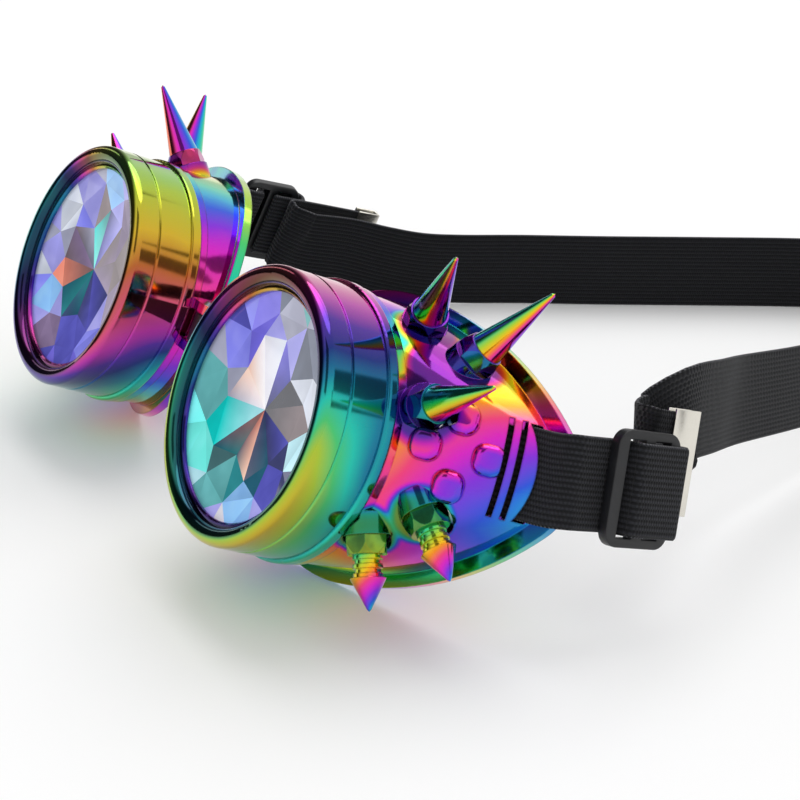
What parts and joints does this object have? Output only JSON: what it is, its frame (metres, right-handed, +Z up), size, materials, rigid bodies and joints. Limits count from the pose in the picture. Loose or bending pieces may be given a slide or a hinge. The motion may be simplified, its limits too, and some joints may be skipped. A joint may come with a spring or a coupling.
{
  "type": "steampunk goggles",
  "caption": "Steampunk goggles with spiked rainbow-plated eye cups, screw-on rings over faceted crystal lenses, a hinged nose bridge and an elastic head band with sliders.",
  "frame": {"origin": "centre of the base of the bounding box, on the table the goggles lie on", "axes": "+Z up from the table, -Y the way the lenses face (they also look up), +X to the wearer's left-hand cup, called right because it is on the right as seen from the front"},
  "size_m": [0.1996, 0.2284, 0.0715],
  "materials": {
    "plating": "rainbow mirror plating on moulded plastic",
    "crystal": "clear faceted crystal with a colour-shifting coat",
    "seal": "matt black",
    "steel": "plain steel",
    "bright_steel": "bright bent sheet",
    "elastic": "black ribbed woven elastic",
    "black_plastic": "satin black"
  },
  "bodies": {
    "bridge": {"nose_bridge": "black_plastic", "head_band": "elastic"},
    "right_cup": {"right_eye_cup": "plating", "right_bridge_pin": "steel", "right_spike_1": "plating", "right_spike_2": "plating", "right_spike_3": "plating", "right_stud_1": "plating", "right_stud_2": "plating", "right_spike_nuts": "plating", "right_front_strap": "elastic"},
    "right_glass": {"right_lens": "crystal", "right_lens_gasket": "seal"},
    "right_ring": {"right_lens_ring": "plating"},
    "right_adjuster": {"right_strap_slider": "black_plastic", "right_strap_clip": "bright_steel"},
    "left_cup": {"left_eye_cup": "plating", "left_bridge_pin": "steel", "left_spike_1": "plating", "left_spike_2": "plating", "left_spike_3": "plating", "left_stud_1": "plating", "left_stud_2": "plating", "left_spike_nuts": "plating", "left_front_strap": "elastic"},
    "left_glass": {"left_lens": "crystal", "left_lens_gasket": "seal"},
    "left_ring": {"left_lens_ring": "plating"},
    "left_adjuster": {"left_strap_slider": "black_plastic", "left_strap_clip": "bright_steel"}
  },
  "joints": [
    {"name": "right_cup_hinge", "type": "hinge", "parent": "bridge", "child": "right_cup", "pos_m": [0.0123, -0.08438, 0.03198], "axis": [0, 0.4384, 0.8988], "range_deg": [-8, 12], "deforming": ["head_band"]},
    {"name": "right_lens_slide", "type": "slide", "parent": "right_cup", "child": "right_glass", "axis": [0, -0.8988, 0.4384], "range_m": [0, 0.0106]},
    {"name": "right_ring_turn", "type": "hinge", "parent": "right_glass", "child": "right_ring", "pos_m": [0.044, -0.09301, 0.03619], "axis": [0, -0.8988, 0.4384], "range_deg": [0, 1260]},
    {"name": "right_slider_slide", "type": "slide", "parent": "right_cup", "child": "right_adjuster", "axis": [0, 0.8988, -0.4384], "range_m": [-0.003, 0.03], "deforming": ["right_front_strap", "head_band"]},
    {"name": "left_cup_hinge", "type": "hinge", "parent": "bridge", "child": "left_cup", "pos_m": [-0.0123, -0.08438, 0.03198], "axis": [0, -0.4384, -0.8988], "range_deg": [-8, 12], "deforming": ["head_band"]},
    {"name": "left_lens_slide", "type": "slide", "parent": "left_cup", "child": "left_glass", "axis": [0, -0.8988, 0.4384], "range_m": [0, 0.0106]},
    {"name": "left_ring_turn", "type": "hinge", "parent": "left_glass", "child": "left_ring", "pos_m": [-0.044, -0.09301, 0.03619], "axis": [0, -0.8988, 0.4384], "range_deg": [0, 1260]},
    {"name": "left_slider_slide", "type": "slide", "parent": "left_cup", "child": "left_adjuster", "axis": [0, 0.8988, -0.4384], "range_m": [-0.018, 0.015], "deforming": ["left_front_strap", "head_band"]}
  ],
  "couplings": [
    {"joint": "right_lens_slide", "follows": "right_ring_turn", "m_per_rad": 0.00047746},
    {"joint": "left_lens_slide", "follows": "left_ring_turn", "m_per_rad": 0.00047746}
  ]
}
